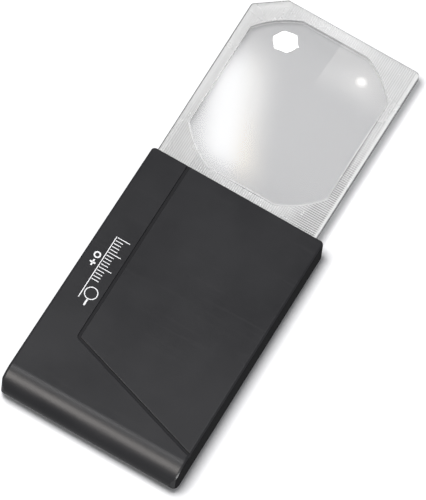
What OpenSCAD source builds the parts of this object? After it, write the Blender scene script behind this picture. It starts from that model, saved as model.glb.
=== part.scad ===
// Slide-out pocket magnifier. A flat moulded case ends in a round battery barrel,
// and a clear plate with a moulded-in lens slides out of its open mouth.
// X runs across the case, Y from the barrel to the lens, and Z up.
// The origin is the middle of the flat underside. The lens is drawn pulled out.

/* [Case] */
// Width of the case at its mouth
case_w = 55.4; // [55.2:0.1:56.4]
// How much wider the case is at its back end
flare = 1.3; // [0.2:0.1:2]
// Flat length of the underside, from the mouth to the lowest line of the barrel
flat_len = 76.6; // [76.6:0.1:80]
// Thickness of the case at its mouth
mouth_t = 11.2; // [11.2:0.1:12]
// Diameter of the battery barrel
barrel_d = 12.8; // [12.8:0.1:13.4]
// Thickness of the floor
floor_t = 1.4; // [1.3:0.1:1.4]
// Thickness of the top shell's skin under the face panel
skin_t = 1.1; // [0.9:0.1:1.1]
// Plan radius of the two corners at the mouth
corner_r = 1.4; // [0.5:0.1:1.8]
// Chamfer along the top's long edges
edge_cut = 0.5; // [0.2:0.1:0.6]
// Chamfer along the underside's long edges
under_cut = 1.1; // [0.4:0.1:1.2]

/* [Face panel] */
// Thickness of the inlaid face panel
panel_t = 0.5; // [0.3:0.1:0.5]
// Distance from the case's left edge to the middle of the groove
groove_from_left = 11.6; // [9:0.1:14]
// Width of the groove around the panel
groove_w = 0.85; // [0.6:0.05:1.1]
// Distance from the mouth to the bend in the groove
groove_bend = 60.3; // [55:0.1:61]
// Slope of the groove's slanted run
groove_angle = 18; // [12:1:18]

/* [Lens plate] */
// Width of the plate
plate_w = 51.1; // [50.8:0.1:51.1]
// Length of plate that shows when it is pulled out
plate_out = 59.4; // [59:0.1:61]
// Length of plate that stays inside the case
plate_in = 8; // [7.8:0.1:8.2]
// Thickness of the plate
plate_t = 3; // [2.6:0.1:3]
// Width of the cut-off corner
corner_cut_w = 8.5; // [5:0.1:9]
// Length of the cut-off corner
corner_cut_l = 6.3; // [4:0.1:7]
// Radius of the lens
lens_r = 28.15; // [27.8:0.05:28.3]
// Width of the lens between its flat sides
lens_w = 44.9; // [44:0.1:44.9]
// Length of the lens between its flat ends
lens_l = 52.2; // [50:0.1:52.2]
// How far the lens stands out of each face of the plate
lens_rise = 2.35; // [1.6:0.05:2.35]
// Height of the step at the edge of the lens
lens_step = 0.4; // [0.2:0.05:0.6]

/* [Slide] */
// How far the lens plate slides in
travel = 56.4; // [50:0.1:56.4]
// Length of the carriage that holds the plate's inner end
carriage_l = 7.4; // [7.2:0.1:7.4]
// Gap between pieces that slide on each other
slide_gap = 0.1; // [0.05:0.01:0.12]

/* [Battery] */
// Diameter of the cell
cell_d = 10.5; // [9.8:0.1:10.5]
// Length of the cell, with its positive button
cell_l = 44.5; // [43.8:0.1:44.5]

/* [Hidden] */
$fn = 64;
EPS = 0.01;
FAR = 100;
// Gap round a piece that is laid or pressed into another
fit_gap = 0.05;

// The case's outer shape
mouth_y = flat_len / 2;
barrel_y = -flat_len / 2;
barrel_r = barrel_d / 2;
back_y = barrel_y - barrel_r;
half_w = case_w / 2;
back_half_w = half_w + flare / 2;
flare_angle = atan((back_half_w - half_w) / (mouth_y - back_y));
// The top runs from the mouth's upper edge to touch the barrel
reach = norm([flat_len, mouth_t - barrel_r]);
touch_angle = atan2(mouth_t - barrel_r, flat_len) + acos(barrel_r / reach);
touch = [barrel_y + barrel_r * cos(touch_angle), barrel_r * (1 + sin(touch_angle))];
top_slope = 90 - touch_angle;

// The bay that the lens slides in, left open at the mouth
left_wall = 0.8;
right_wall = 1;
bay_left = -half_w + left_wall;
bay_right = half_w - right_wall;
bay_wall = 0.95;
mouth_block = 5;
top_t = skin_t + panel_t;
mid_z = (floor_t + mouth_t - top_t) / 2;
bay_top_z = mouth_t - top_t;

// The battery compartment
cell_gap = 0.2;
comp_r = cell_d / 2 + cell_gap;
comp_left = -25.2;
comp_right = 24.7;
wall_y = barrel_y + comp_r;
bay_back_y = wall_y + bay_wall;
contact_t = 0.3;

// The lens plate
plate_left = bay_left + slide_gap;
plate_right = plate_left + plate_w;
plate_end_y = mouth_y + plate_out;
plate_in_y = mouth_y - plate_in;
lens_side_margin = 3.1;
lens_end_margin = 3.4;
lens_x = plate_left + lens_side_margin + lens_w / 2;
lens_y = plate_end_y - lens_end_margin - lens_l / 2;
dome_rise = lens_rise - lens_step;
dome_r = (pow(lens_r, 2) + pow(dome_rise, 2)) / (2 * dome_rise);
plate_corner_r = 1.2;
peg_r = 0.9;
peg_inset = 8.6;
peg_y = mouth_y - 6.6;

// The carriage
car_front_y = mouth_y - mouth_block - 0.2;
car_back_y = car_front_y - carriage_l;
car_left = bay_left + slide_gap;
car_right = bay_right - slide_gap;
car_low_z = floor_t + 0.3;
car_high_z = bay_top_z - 0.3;
pocket_half_w = 17.2;
pocket_back_y = car_back_y + 0.6;
pocket_low_z = car_low_z + 0.6;
pocket_high_z = car_high_z - 0.6;
board_back_y = plate_in_y - 1.8;
board_t = 0.8;
board_half_w = 17;
screw_places = [-21.5, 21.5];
screw_y = car_back_y + 1.4;
screw_r = 0.7;
screw_l = 4.7;
screw_head_r = 1.2;
screw_head_h = 0.85;
screw_gap = 0.1;
spring_recess = 0.6;
spring_half_h = 1.2;

// What sits on the board
led_places = [-10, 10];
led_half_w = 1.6;
led_half_h = 0.8;
chip_x = -5;
chip_half = 1.5;
chip_t = 1.1;
coil_x = 3;
coil_h = 1.5;
coil_r = 1.9;
coil_core_r = 1.3;
coil_flange_t = 0.4;
capacitor_places = [-10.5, 8.5];
capacitor_l = 1.6;
capacitor_h = 0.8;

// The wipers and their leads to the board
wiper_w = 1.2;
wiper_gap = 0.15;
leaf_t = 0.15;
lead_low_z = 3.4;
lead_high_z = 4.2;

// The contact track on the floor
strip_w = 1.6;
strip_t = 0.2;
strip_front_y = mouth_y - mouth_block - 1.2;
pad_l = 5.8;
pad_rise = 0.22;
strip_back_y = bay_back_y + 0.05;
arm_l = 0.9;
arm_high_z = 5.3;
right_strip_x = comp_right - 0.4;
left_strip_x = comp_left + 0.35;
contact_half_l = 3.2;
contact_low_z = barrel_r - 3.5;
contact_high_z = barrel_r + 3;

// The battery door
flap_y = barrel_y + comp_r + 2;
flap_t = barrel_r - comp_r - 0.05;
door_gap = 0.15;
tongue_l = 2.2;
tongue_w = 6;
tongue_z = [0.4, 0.85];
tongue_places = [-15, 15];
grip_count = 5;
grip_half_l = 9;
grip_first = 0.6;
grip_pitch = 1.2;
grip_w = 0.5;
grip_depth = 0.3;

// The pins that join the shells, the panel's pegs and the two floor rests
pin_places = [[-26.7, barrel_y - 3], [-26.7, barrel_y + 3], [26.5, barrel_y - 3],
              [26.5, barrel_y + 3], [26, mouth_y - 2.6]];
pin_r = 0.7;
pin_h = 2;
panel_peg_x = [-8, 22];
panel_peg_y = [mouth_y - 8, mouth_y - 50];
panel_peg_r = 0.8;
rest_places = [-24.2, 22.6];
rest_w = 0.6;
guide_w = 1;

case_colour = "#2c2c2f";
metal_colour = "#c9c2a8";

// Height of the outer top face at y
function top_z(y) = mouth_t + (mouth_y - y) * tan(top_slope);

// A box given by its lowest and highest corners
module block(low, high) {
    translate(low) cube(high - low);
}

// Extrudes an outline drawn in Y and Z along X
module along_x(x0, x1) {
    translate([x0, 0, 0]) rotate([90, 0, 90]) linear_extrude(x1 - x0) children();
}

// A cylinder along X, centred on the barrel
module barrel_rod(r, x0, x1) {
    translate([x0, barrel_y, barrel_r]) rotate([0, 90, 0]) cylinder(r = r, h = x1 - x0);
}

// The case seen from its side, in Y and Z
module side_profile() {
    translate([barrel_y, barrel_r]) circle(barrel_r);
    polygon([[mouth_y, 0], [mouth_y, mouth_t], touch, [barrel_y, barrel_r], [barrel_y, 0]]);
}

// The case seen from above, in X and Y
module plan_outline() {
    round_y = mouth_y - corner_r;
    polygon([[-half_w, round_y], [half_w, round_y], [back_half_w, back_y - 1], [-back_half_w, back_y - 1]]);
    translate([-half_w + corner_r, round_y]) square([case_w - 2 * corner_r, corner_r]);
    for (side = [-1, 1])
        translate([side * (half_w - corner_r), round_y]) circle(corner_r);
}

// A long cutter that takes a chamfer off one long edge
module edge_cutter(side, z, slope, chamfer) {
    translate([side * half_w, mouth_y, z])
        rotate([-slope, 0, side * flare_angle])
            rotate([0, 45, 0])
                cube([chamfer * sqrt(2), 2 * FAR, chamfer * sqrt(2)], center = true);
}

// The case's outer shape, before it is split into shells
module case_solid() {
    difference() {
        intersection() {
            along_x(-FAR, FAR) side_profile();
            translate([0, 0, -1]) linear_extrude(barrel_d + 2) plan_outline();
        }
        for (side = [-1, 1]) {
            edge_cutter(side, mouth_t, top_slope, edge_cut);
            edge_cutter(side, 0, 0, under_cut);
        }
    }
}

// The panel's plan; shift moves its two grooved edges inwards
module panel_plan(shift) {
    bend = [-half_w + groove_from_left, mouth_y - groove_bend];
    x0 = bend[0] + shift;
    slope = tan(groove_angle);
    lift = shift / cos(groove_angle);
    polygon([[x0, mouth_y + 1], [x0, bend[1] - shift * slope + lift],
             [half_w + 2, bend[1] - (half_w + 2 - bend[0]) * slope + lift], [half_w + 2, mouth_y + 1]]);
}

// A layer of thickness t just under the top face, with room above it
module top_layer(t, above) {
    along_x(-FAR, FAR)
        polygon([[mouth_y + 1, top_z(mouth_y + 1) - t], [mouth_y + 1, top_z(mouth_y + 1) + above],
                 [barrel_y, top_z(barrel_y) + above], [barrel_y, top_z(barrel_y) - t]]);
}

// The space inside the case that the lens and its carriage move in
module bay() {
    y0 = bay_back_y;
    y1 = mouth_y - mouth_block;
    along_x(bay_left, bay_right)
        polygon([[y0, floor_t], [y1, floor_t], [y1, top_z(y1) - top_t], [y0, top_z(y0) - top_t]]);
}

// The opening in the mouth: a slot for the plate's edges and a window for the lens
module mouth_opening() {
    y0 = mouth_y - mouth_block - EPS;
    half_slot = plate_t / 2 + fit_gap;
    lens_gap = 0.3;
    block([bay_left, y0, mid_z - half_slot], [plate_right + 0.15, mouth_y + 1, mid_z + half_slot]);
    block([lens_x - lens_w / 2 - lens_gap, y0, floor_t],
          [lens_x + lens_w / 2 + lens_gap, mouth_y + 1, bay_top_z]);
}

// The panel's pegs, or with a larger radius and height their holes
module peg_row(r, h) {
    for (y = panel_peg_y, x = panel_peg_x)
        translate([x, y, top_z(y) - panel_t - h]) cylinder(r = r, h = h);
}

module top_shell() {
    color(case_colour) {
        difference() {
            intersection() {
                case_solid();
                block([-FAR, -FAR, mid_z], [FAR, FAR, FAR]);
            }
            bay();
            mouth_opening();
            barrel_rod(comp_r, comp_left, comp_right);
            intersection() {
                top_layer(panel_t, 2);
                linear_extrude(FAR) panel_plan(-groove_w / 2);
            }
            for (p = pin_places)
                translate([p[0], p[1], mid_z - 1]) cylinder(r = pin_r + fit_gap, h = pin_h + 1.2);
            peg_row(panel_peg_r + fit_gap, skin_t + 1);
        }
        for (x = [[bay_left - EPS, bay_left + guide_w], [bay_right - guide_w, bay_right + EPS]])
            guide_rib(x[0], x[1]);
    }
}

// A rib under the roof that keeps the carriage level
module guide_rib(x0, x1) {
    y0 = bay_back_y - EPS;
    y1 = mouth_y - mouth_block + EPS;
    low = car_high_z + slide_gap;
    along_x(x0, x1)
        polygon([[y0, low], [y1, low], [y1, top_z(y1) - top_t + EPS], [y0, top_z(y0) - top_t + EPS]]);
}

// The floor groove that a contact strip lies in
module strip_channel(x) {
    block([x - fit_gap, strip_back_y - 0.2, floor_t - strip_t - 0.02],
          [x + strip_w + fit_gap, strip_front_y + 0.1, floor_t + 1]);
}

// The slot in the wall behind the bay that lets a contact's arm through
module arm_slot(x) {
    block([x - 0.1, wall_y - 1, floor_t - strip_t - 0.02],
          [x + contact_t + 0.1, bay_back_y + EPS, mid_z + 1]);
}

module bottom_shell() {
    color(case_colour) {
        difference() {
            intersection() {
                case_solid();
                block([-FAR, -FAR, -FAR], [FAR, FAR, mid_z]);
            }
            bay();
            mouth_opening();
            block([comp_left, -FAR, -FAR], [comp_right, wall_y, FAR]);
            block([comp_left, -FAR, -FAR], [comp_right, flap_y + 0.1, flap_t + 0.1]);
            for (x = tongue_places)
                block([x - tongue_w / 2 - 0.1, wall_y, tongue_z[0] - fit_gap],
                      [x + tongue_w / 2 + 0.1, flap_y + tongue_l + 0.2, tongue_z[1] + fit_gap]);
            strip_channel(right_strip_x);
            strip_channel(left_strip_x - strip_w + contact_t);
            arm_slot(right_strip_x);
            arm_slot(left_strip_x);
        }
        for (p = pin_places)
            translate([p[0], p[1], mid_z - 1]) cylinder(r = pin_r, h = pin_h + 1);
        for (x = rest_places)
            block([x, bay_back_y - EPS, floor_t - EPS], [x + rest_w, car_front_y, car_low_z - fit_gap]);
    }
}

module face_panel() {
    color(case_colour) {
        intersection() {
            case_solid();
            top_layer(panel_t, 2);
            linear_extrude(FAR) panel_plan(groove_w / 2);
        }
        peg_row(panel_peg_r, skin_t);
    }
}

module battery_door() {
    color(case_colour) {
        difference() {
            intersection() {
                case_solid();
                block([comp_left + door_gap, -FAR, -FAR], [comp_right - door_gap, flap_y, mid_z - fit_gap]);
            }
            barrel_rod(comp_r, -FAR, FAR);
            block([-FAR, barrel_y, flap_t], [FAR, FAR, FAR]);
            for (i = [0:grip_count - 1])
                translate([0, barrel_y + grip_first + i * grip_pitch, 0])
                    block([-grip_half_l, 0, -1], [grip_half_l, grip_w, grip_depth]);
        }
        for (x = tongue_places)
            block([x - tongue_w / 2, flap_y - 1, tongue_z[0]],
                  [x + tongue_w / 2, flap_y + tongue_l, tongue_z[1]]);
    }
}

// One dome of the lens, standing on z = 0
module dome() {
    cylinder(r = lens_r, h = lens_step, $fn = 180);
    translate([0, 0, lens_step])
        rotate_extrude($fn = 180)
            intersection() {
                translate([0, dome_rise - dome_r]) circle(dome_r, $fn = 720);
                square([lens_r, dome_rise + 1]);
            }
}

// The plate seen from above, with one cut-off corner and one rounded one
module plate_outline() {
    round_x = plate_right - plate_corner_r;
    round_y = plate_end_y - plate_corner_r;
    polygon([[plate_left, plate_in_y], [plate_left, plate_end_y - corner_cut_l],
             [plate_left + corner_cut_w, plate_end_y], [round_x, plate_end_y],
             [round_x, round_y], [plate_right, round_y], [plate_right, plate_in_y]]);
    translate([round_x, round_y]) circle(plate_corner_r);
}

module lens_plate() {
    color("#dfe6ea", 0.45)
        difference() {
            union() {
                translate([0, 0, mid_z - plate_t / 2]) linear_extrude(plate_t) plate_outline();
                intersection() {
                    translate([lens_x, lens_y, mid_z])
                        for (side = [0, 1])
                            mirror([0, 0, side]) translate([0, 0, plate_t / 2 - EPS]) dome();
                    translate([lens_x - lens_w / 2, lens_y - lens_l / 2, 0]) cube([lens_w, lens_l, mouth_t]);
                }
            }
            for (x = [plate_left + peg_inset, plate_right - peg_inset])
                translate([x, peg_y, mid_z - plate_t]) cylinder(r = peg_r + fit_gap, h = 2 * plate_t);
        }
}

// The whole carriage block, with its slot for the plate and its pocket for the board
module carriage_block() {
    half_slot = plate_t / 2 + 0.02;
    difference() {
        block([car_left, car_back_y, car_low_z], [car_right, car_front_y, car_high_z]);
        block([car_left - 1, plate_in_y - 0.02, mid_z - half_slot],
              [plate_right + fit_gap, car_front_y + 1, mid_z + half_slot]);
        block([-pocket_half_w, pocket_back_y, pocket_low_z], [pocket_half_w, plate_in_y, pocket_high_z]);
        for (x = screw_places) {
            translate([x, screw_y, car_low_z - 1])
                cylinder(r = screw_r + fit_gap, h = screw_l + 3 * screw_gap + 1);
            translate([x, screw_y, car_low_z - 1])
                cylinder(r = screw_head_r + screw_gap, h = screw_head_h + screw_gap + 1);
        }
        for (side = [-1, 1])
            wiper_room(side);
        block([car_right - spring_recess, car_back_y + 0.4, mid_z - spring_half_h - 0.2],
              [car_right + 1, car_front_y - 0.4, mid_z + spring_half_h + 0.2]);
    }
}

// Room in the carriage for one wiper and its lead
module wiper_room(side) {
    x = wiper_x(side);
    half = wiper_w / 2 + wiper_gap;
    inner = side * (pocket_half_w - 1);
    y0 = board_back_y - contact_t - 0.1;
    y1 = board_back_y + 0.1;
    block([x - half, car_back_y + 0.3, car_low_z - 1], [x + half, car_front_y - 0.6, car_low_z + 0.75]);
    block([x - half, y0, car_low_z], [x + half, y1, lead_high_z + 0.1]);
    block([min(x - half, inner), y0, lead_low_z - 0.1], [max(x + half, inner), y1, mid_z + EPS]);
}

// Middle of the wiper on one side, over its contact strip
function wiper_x(side) =
    side > 0 ? right_strip_x + strip_w / 2 : left_strip_x - strip_w / 2 + contact_t;

module slide_carriage() {
    color("#3a3a3c") {
        intersection() {
            carriage_block();
            block([-FAR, -FAR, -FAR], [FAR, FAR, mid_z]);
        }
        for (x = [plate_left + peg_inset, plate_right - peg_inset])
            translate([x, peg_y, mid_z - plate_t / 2 - 1]) cylinder(r = peg_r, h = plate_t + 0.8);
    }
}

module carriage_cap() {
    color("#3a3a3c")
        intersection() {
            carriage_block();
            block([-FAR, -FAR, mid_z], [FAR, FAR, FAR]);
        }
}

module carriage_screws() {
    color("#b8bcc0")
        for (x = screw_places)
            translate([x, screw_y, car_low_z + fit_gap])
                difference() {
                    union() {
                        cylinder(r = screw_head_r, h = screw_head_h);
                        cylinder(r = screw_r, h = screw_l);
                    }
                    for (turn = [0, 90])
                        rotate([0, 0, turn]) cube([1.5, 0.35, 0.8], center = true);
                }
}

// A bowed leaf on the carriage's right end that rubs along the case's wall
module friction_spring() {
    chord = carriage_l - 1.4;
    bow = spring_recess;
    r = (pow(chord / 2, 2) + pow(bow, 2)) / (2 * bow);
    x1 = bay_right - 0.03;
    color(metal_colour)
        translate([0, 0, mid_z - spring_half_h])
            linear_extrude(2 * spring_half_h)
                intersection() {
                    translate([x1 - r, (car_back_y + car_front_y) / 2])
                        difference() {
                            circle(r, $fn = 120);
                            circle(r - leaf_t, $fn = 120);
                        }
                    translate([x1 - bow, car_back_y]) square([bow + 1, carriage_l]);
                }
}

module led_board() {
    color("#1f5b3a")
        block([-board_half_w, board_back_y, pocket_low_z + 0.1],
              [board_half_w, board_back_y + board_t, pocket_high_z - 0.1]);
}

module leds() {
    color("#f4f1dc")
        for (x = led_places)
            block([x - led_half_w, board_back_y + board_t, mid_z - led_half_h],
                  [x + led_half_w, plate_in_y - 0.3, mid_z + led_half_h]);
}

module led_reflector() {
    color("white")
        difference() {
            block([-board_half_w + 0.5, board_back_y + board_t + fit_gap, pocket_low_z + 0.3],
                  [board_half_w - 0.5, plate_in_y - 0.1, pocket_high_z - 0.3]);
            for (x = led_places)
                block([x - led_half_w - 0.3, -FAR, mid_z - led_half_h - 0.3],
                      [x + led_half_w + 0.3, FAR, mid_z + led_half_h + 0.3]);
        }
}

module driver_chip() {
    color("#26262a") {
        block([chip_x - chip_half, board_back_y - chip_t, mid_z - chip_half],
              [chip_x + chip_half, board_back_y, mid_z + chip_half]);
        for (side = [-1, 1], i = [-1, 0, 1])
            translate([chip_x + side * (chip_half + 0.4), board_back_y - 0.2, mid_z + i * 0.95])
                cube([0.8, 0.4, 0.4], center = true);
    }
}

module boost_coil() {
    color("#4b4640")
        translate([coil_x, board_back_y, mid_z])
            rotate([90, 0, 0]) {
                cylinder(r = coil_core_r, h = coil_h);
                for (z = [0, coil_h - coil_flange_t])
                    translate([0, 0, z]) cylinder(r = coil_r, h = coil_flange_t);
            }
}

module capacitors() {
    color("#b59a72")
        for (x = capacitor_places)
            translate([x - capacitor_l / 2, board_back_y - capacitor_h, mid_z - capacitor_h / 2])
                cube([capacitor_l, capacitor_h, capacitor_h]);
}

// A springy leaf under the carriage and its lead to the board
module wiper(side) {
    x = wiper_x(side);
    half = wiper_w / 2;
    tip_z = floor_t + pad_rise + 0.04;
    root_z = car_low_z + 0.58;
    back = car_back_y + 0.5;
    y0 = board_back_y - contact_t;
    inner = side * (board_half_w - 2);
    along_x(x - half, x + half)
        polygon([[back, root_z + leaf_t], [back, root_z], [back + 2, root_z], [back + 4.6, tip_z],
                 [back + 5.2, tip_z], [back + 6, tip_z + 0.3], [back + 6, tip_z + 0.3 + leaf_t],
                 [back + 5.2, tip_z + leaf_t], [back + 4.6, tip_z + leaf_t], [back + 2, root_z + leaf_t]]);
    block([x - half, y0, root_z], [x + half, board_back_y, lead_high_z]);
    block([min(inner, x), y0, lead_low_z], [max(inner, x), board_back_y, lead_high_z]);
}

module wiper_contacts() {
    color(metal_colour)
        for (side = [-1, 1])
            wiper(side);
}

// A contact plate at the cell's end, its arm and the strip along the floor.
// x is the plate's left face, and strip_x the strip's left edge.
module contact_strip(x, strip_x) {
    block([x, barrel_y - contact_half_l, contact_low_z],
          [x + contact_t, barrel_y + contact_half_l, contact_high_z]);
    block([x, barrel_y + 3, floor_t - strip_t], [x + contact_t, strip_back_y + arm_l, arm_high_z]);
    block([strip_x, strip_back_y, floor_t - strip_t], [strip_x + strip_w, strip_front_y, floor_t]);
    block([strip_x + 0.2, strip_front_y - pad_l, floor_t - EPS],
          [strip_x + strip_w - 0.2, strip_front_y, floor_t + pad_rise]);
}

module positive_strip() {
    color(metal_colour) contact_strip(right_strip_x, right_strip_x);
}

module negative_strip() {
    color(metal_colour) contact_strip(left_strip_x, left_strip_x - strip_w + contact_t);
}

module battery() {
    tip_x = right_strip_x - fit_gap;
    back_x = tip_x - cell_l;
    button_l = 0.85;
    button_r = 1.9;
    foot_l = 0.4;
    foot_inset = 1.2;
    color("#6d7a86") {
        barrel_rod(cell_d / 2, back_x + foot_l, tip_x - button_l);
        barrel_rod(cell_d / 2 - foot_inset, back_x, back_x + foot_l + EPS);
        barrel_rod(button_r, tip_x - button_l - EPS, tip_x);
    }
}

// Points of one ring of the spring's wire at turn angle a, with its middle x along the axis
function wire_ring(a, x, turn_r, wire_r) =
    [for (b = [0:60:300])
        [x + wire_r * sin(b), barrel_y + (turn_r + wire_r * cos(b)) * cos(a),
         barrel_r + (turn_r + wire_r * cos(b)) * sin(a)]];

module battery_spring() {
    turns = 4;
    steps = 20;
    rings = turns * steps;
    wire_r = 0.25;
    wide_r = 3.6;
    narrow_r = 2.2;
    x0 = left_strip_x + contact_t + wire_r;
    x1 = right_strip_x - 0.1 - cell_l - wire_r;
    points = [for (i = [0:rings], along = i / rings)
        each wire_ring(360 * i / steps, x0 + (x1 - x0) * along,
                       wide_r + (narrow_r - wide_r) * along, wire_r)];
    sides = [for (i = [0:rings - 1], k = [0:5])
        [i * 6 + k, i * 6 + (k + 1) % 6, (i + 1) * 6 + (k + 1) % 6, (i + 1) * 6 + k]];
    color("silver")
        polyhedron(points, concat(sides, [[5, 4, 3, 2, 1, 0]], [[for (k = [0:5]) rings * 6 + k]]));
}

top_shell();
bottom_shell();
face_panel();
battery_door();
lens_plate();
slide_carriage();
carriage_cap();
carriage_screws();
friction_spring();
led_board();
leds();
led_reflector();
driver_chip();
boost_coil();
capacitors();
wiper_contacts();
positive_strip();
negative_strip();
battery();
battery_spring();
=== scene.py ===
"""Slide-out pocket magnifier, drawn with its lens pulled out.

The pieces are made in millimetres in the CAD's frame and scaled to metres when they are done:
X runs across the case, Y from the barrel to the lens, and Z up from the flat underside.
Materials, lamps and the camera are in metres.
"""
import math

import bmesh
import bpy
from mathutils import Matrix, Vector


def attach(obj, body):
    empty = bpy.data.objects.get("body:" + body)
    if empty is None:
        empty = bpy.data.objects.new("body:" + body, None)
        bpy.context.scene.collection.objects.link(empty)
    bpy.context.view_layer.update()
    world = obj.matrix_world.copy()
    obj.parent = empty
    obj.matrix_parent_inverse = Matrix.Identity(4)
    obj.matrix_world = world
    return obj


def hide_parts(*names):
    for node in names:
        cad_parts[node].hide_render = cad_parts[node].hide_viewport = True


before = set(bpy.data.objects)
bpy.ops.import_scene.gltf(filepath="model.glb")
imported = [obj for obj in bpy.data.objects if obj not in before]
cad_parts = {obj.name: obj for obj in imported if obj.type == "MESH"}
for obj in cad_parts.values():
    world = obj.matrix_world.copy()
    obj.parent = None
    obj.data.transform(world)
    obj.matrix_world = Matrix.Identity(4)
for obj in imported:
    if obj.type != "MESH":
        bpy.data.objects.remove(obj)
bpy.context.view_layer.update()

MM = 0.001

# The case's outer shape
MOUTH_Y = 38.3
BARREL_Y = -38.3
BARREL_R = 6.4
SKIN_R = 6.397
BACK_Y = BARREL_Y - BARREL_R
HALF_W = 27.7
BACK_HALF_W = 28.345
MOUTH_T = 11.2
TOUCH_ANGLE = math.radians(88.803)
TOP_SLOPE = math.radians(1.197)
SEAM_Z = 5.5
LONG_EDGE_R = 0.9
MOUTH_EDGE_R = 0.45
MOUTH_CORNER_R = 1.4
UNDER_EDGE_R = 2.0
BACK_CORNER_R = 2.8
SEAM_BEVEL = 0.06
UNDER_CORNER_GROWTH = 1.6
SLACK = 0.02
FAR = 100

# The bay, the mouth and the battery compartment
BAY_X = (-26.9, 26.7)
BAY_Y = (-31.9, 33.3)
FLOOR_T = 1.4
ROOF_T = 1.6
SLOT_X = (-26.9, 24.45)
SLOT_Z = (3.95, 7.05)
WINDOW_X = (-24.0, 21.5)
WINDOW_Z = (1.4, 9.6)
LEAD_IN = 0.2
COMP_X = (-25.2, 24.7)
COMP_R = 5.45
WALL_Y = BARREL_Y + COMP_R
FLAP_Y = WALL_Y + 2
FLAP_T = 0.9
DOOR_GAP = 0.15
DOOR_TOP_Z = 5.45

# The battery door's finger grooves and tongues
DOOR_BEVEL = 0.1
GRIP_COUNT = 5
GRIP_FIRST_Y = BARREL_Y + 0.85
GRIP_PITCH = 1.2
GRIP_R = 0.36
GRIP_HALF_L = 9
GRIP_AXIS_Z = -0.06
TONGUE_PLACES = (-15, 15)
TONGUE_HALF_W = 3
TONGUE_L = 2.2
TONGUE_Z = (0.4, 0.85)
TONGUE_CORNER_R = 0.5

# The inlaid panel and the groove round it
GROOVE_X = -16.1
GROOVE_W = 0.85
BEND_Y = -22.0
BEND_R = 1.0
GROOVE_ANGLE = math.radians(18)
PANEL_T = 0.5
GROOVE_ROUND = 0.2
BEAD_W = 0.34
BEAD_DEPTH = 0.15
BEAD_ROUND = 0.1

# The lens plate
PLATE_X = (-26.8, 24.3)
PLATE_Y = (30.3, 97.7)
PLATE_Z = (4.0, 7.0)
PLATE_CUT = (8.5, 6.3)
PLATE_CORNER_RADII = (0, 0, 1.2, 1.0, 1.0)
PLATE_EDGE_R = 0.3
LENS_X = -1.25
LENS_Y = 68.2
LENS_R = 28.15
LENS_HALF = (22.45, 26.1)
LENS_STEP = 0.4
LENS_CHAMFER = 0.34
LENS_RINGS = 26
DOME_RISE = 1.95
DOME_R = 204.2
RIB_PITCH = 0.64
RIB_FIRST = -25.9
RIB_DEPTH = 0.05
SHALLOW_RIB_DEPTH = 0.015
SHALLOW_RIBS_END_X = -17
RIB_CREST_GAP = 0.004
CROSS_PITCH = 0.66
CROSS_FIRST = 39.8
CROSS_DEPTH = 0.10
CROSS_MARGIN = 1.6
CROSS_X = (13.0, 23.6)
PEG_PLACES = ((-18.2, 31.7), (15.7, 31.7))
PEG_HOLE_R = 0.95

# The cell and its spring
CELL_X = (-20.25, 24.25)
CELL_R = 5.25
FILM_ROLL_R = 0.45
SPRING_X = (-24.27, -20.58)
SPRING_R = (3.6, 2.2)
SPRING_WIRE_R = 0.25
SPRING_TURNS = 5.5
SPRING_CLOSED_TURNS = 0.8

# The print on the left strip: how deep its two faces lie, and its marks
INK_DEPTH = (0.01, -0.012)
SCALE_X = -22.3
SCALE_Y = (9.4, -11.7)
SCALE_W = 0.26
TICK_X = -21.95
TICK_FIRST_Y = 9.27
TICK_PITCH = 1.02
TICK_COUNT = 15
TICK_W = 0.24
TICK_L = 2.2
LONG_TICK_L = 3.9
LOUPE = (-19.75, -9.0)
LOUPE_R = (2.0, 1.72)
LOUPE_HANDLE_Y = (-11.1, -13.1)
LOUPE_HANDLE_W = 0.5
RING = (-24.2, 1.9)
RING_R = (1.05, 0.62)
PLUS = (-24.2, -0.7)
PLUS_HALF = (0.9, 1.0)
PLUS_W = 0.48

# The view, in metres: from the object to the camera, and the panels that the lens mirrors.
# The big panel is SKY_SPAN times as large as its picture on the lens.
TO_CAMERA = Vector((0.149, -0.341, 0.928)).normalized()
CAMERA_DISTANCE = 3.858
CAMERA_ROLL = math.radians(57.4)
AIM_RIGHT = 7.2 * MM
AIM_UP = 15.5 * MM
CARD_DISTANCE = 0.8
SKY_SPAN = 8.8
SKY_HALF = 27 * SKY_SPAN * MM
HEXAGON_R = 0.031
LAMP_TARGET = (0, 0.02, 0)
FLOOR_R = 3.0
FLOOR_Z = -0.0002


def top_z(y):
    """Height of the case's flat top at y."""
    return MOUTH_T + (MOUTH_Y - y) * math.tan(TOP_SLOPE)


def half_width(y):
    """Half of the case's width at y."""
    return HALF_W + (BACK_HALF_W - HALF_W) * (MOUTH_Y - y) / (MOUTH_Y - BACK_Y)


# ---- Mesh tools ------------------------------------------------------------------------------


def new_object(name, verts, faces):
    """An object from plain lists, in millimetres, with its normals facing out."""
    mesh = bpy.data.meshes.new(name)
    mesh.from_pydata([tuple(v) for v in verts], [], faces)
    obj = bpy.data.objects.new(name, mesh)
    bpy.context.scene.collection.objects.link(obj)
    clean(obj)
    return obj


def edit(obj, change):
    """Runs change on the object's bmesh."""
    bm = bmesh.new()
    bm.from_mesh(obj.data)
    change(bm)
    bm.to_mesh(obj.data)
    bm.free()


def clean(obj, gap=1e-4):
    """Merges doubled points and turns the faces outwards."""

    def change(bm):
        bmesh.ops.remove_doubles(bm, verts=bm.verts, dist=gap)
        bmesh.ops.dissolve_degenerate(bm, dist=gap, edges=bm.edges)
        bmesh.ops.recalc_face_normals(bm, faces=bm.faces)

    edit(obj, change)


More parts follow.
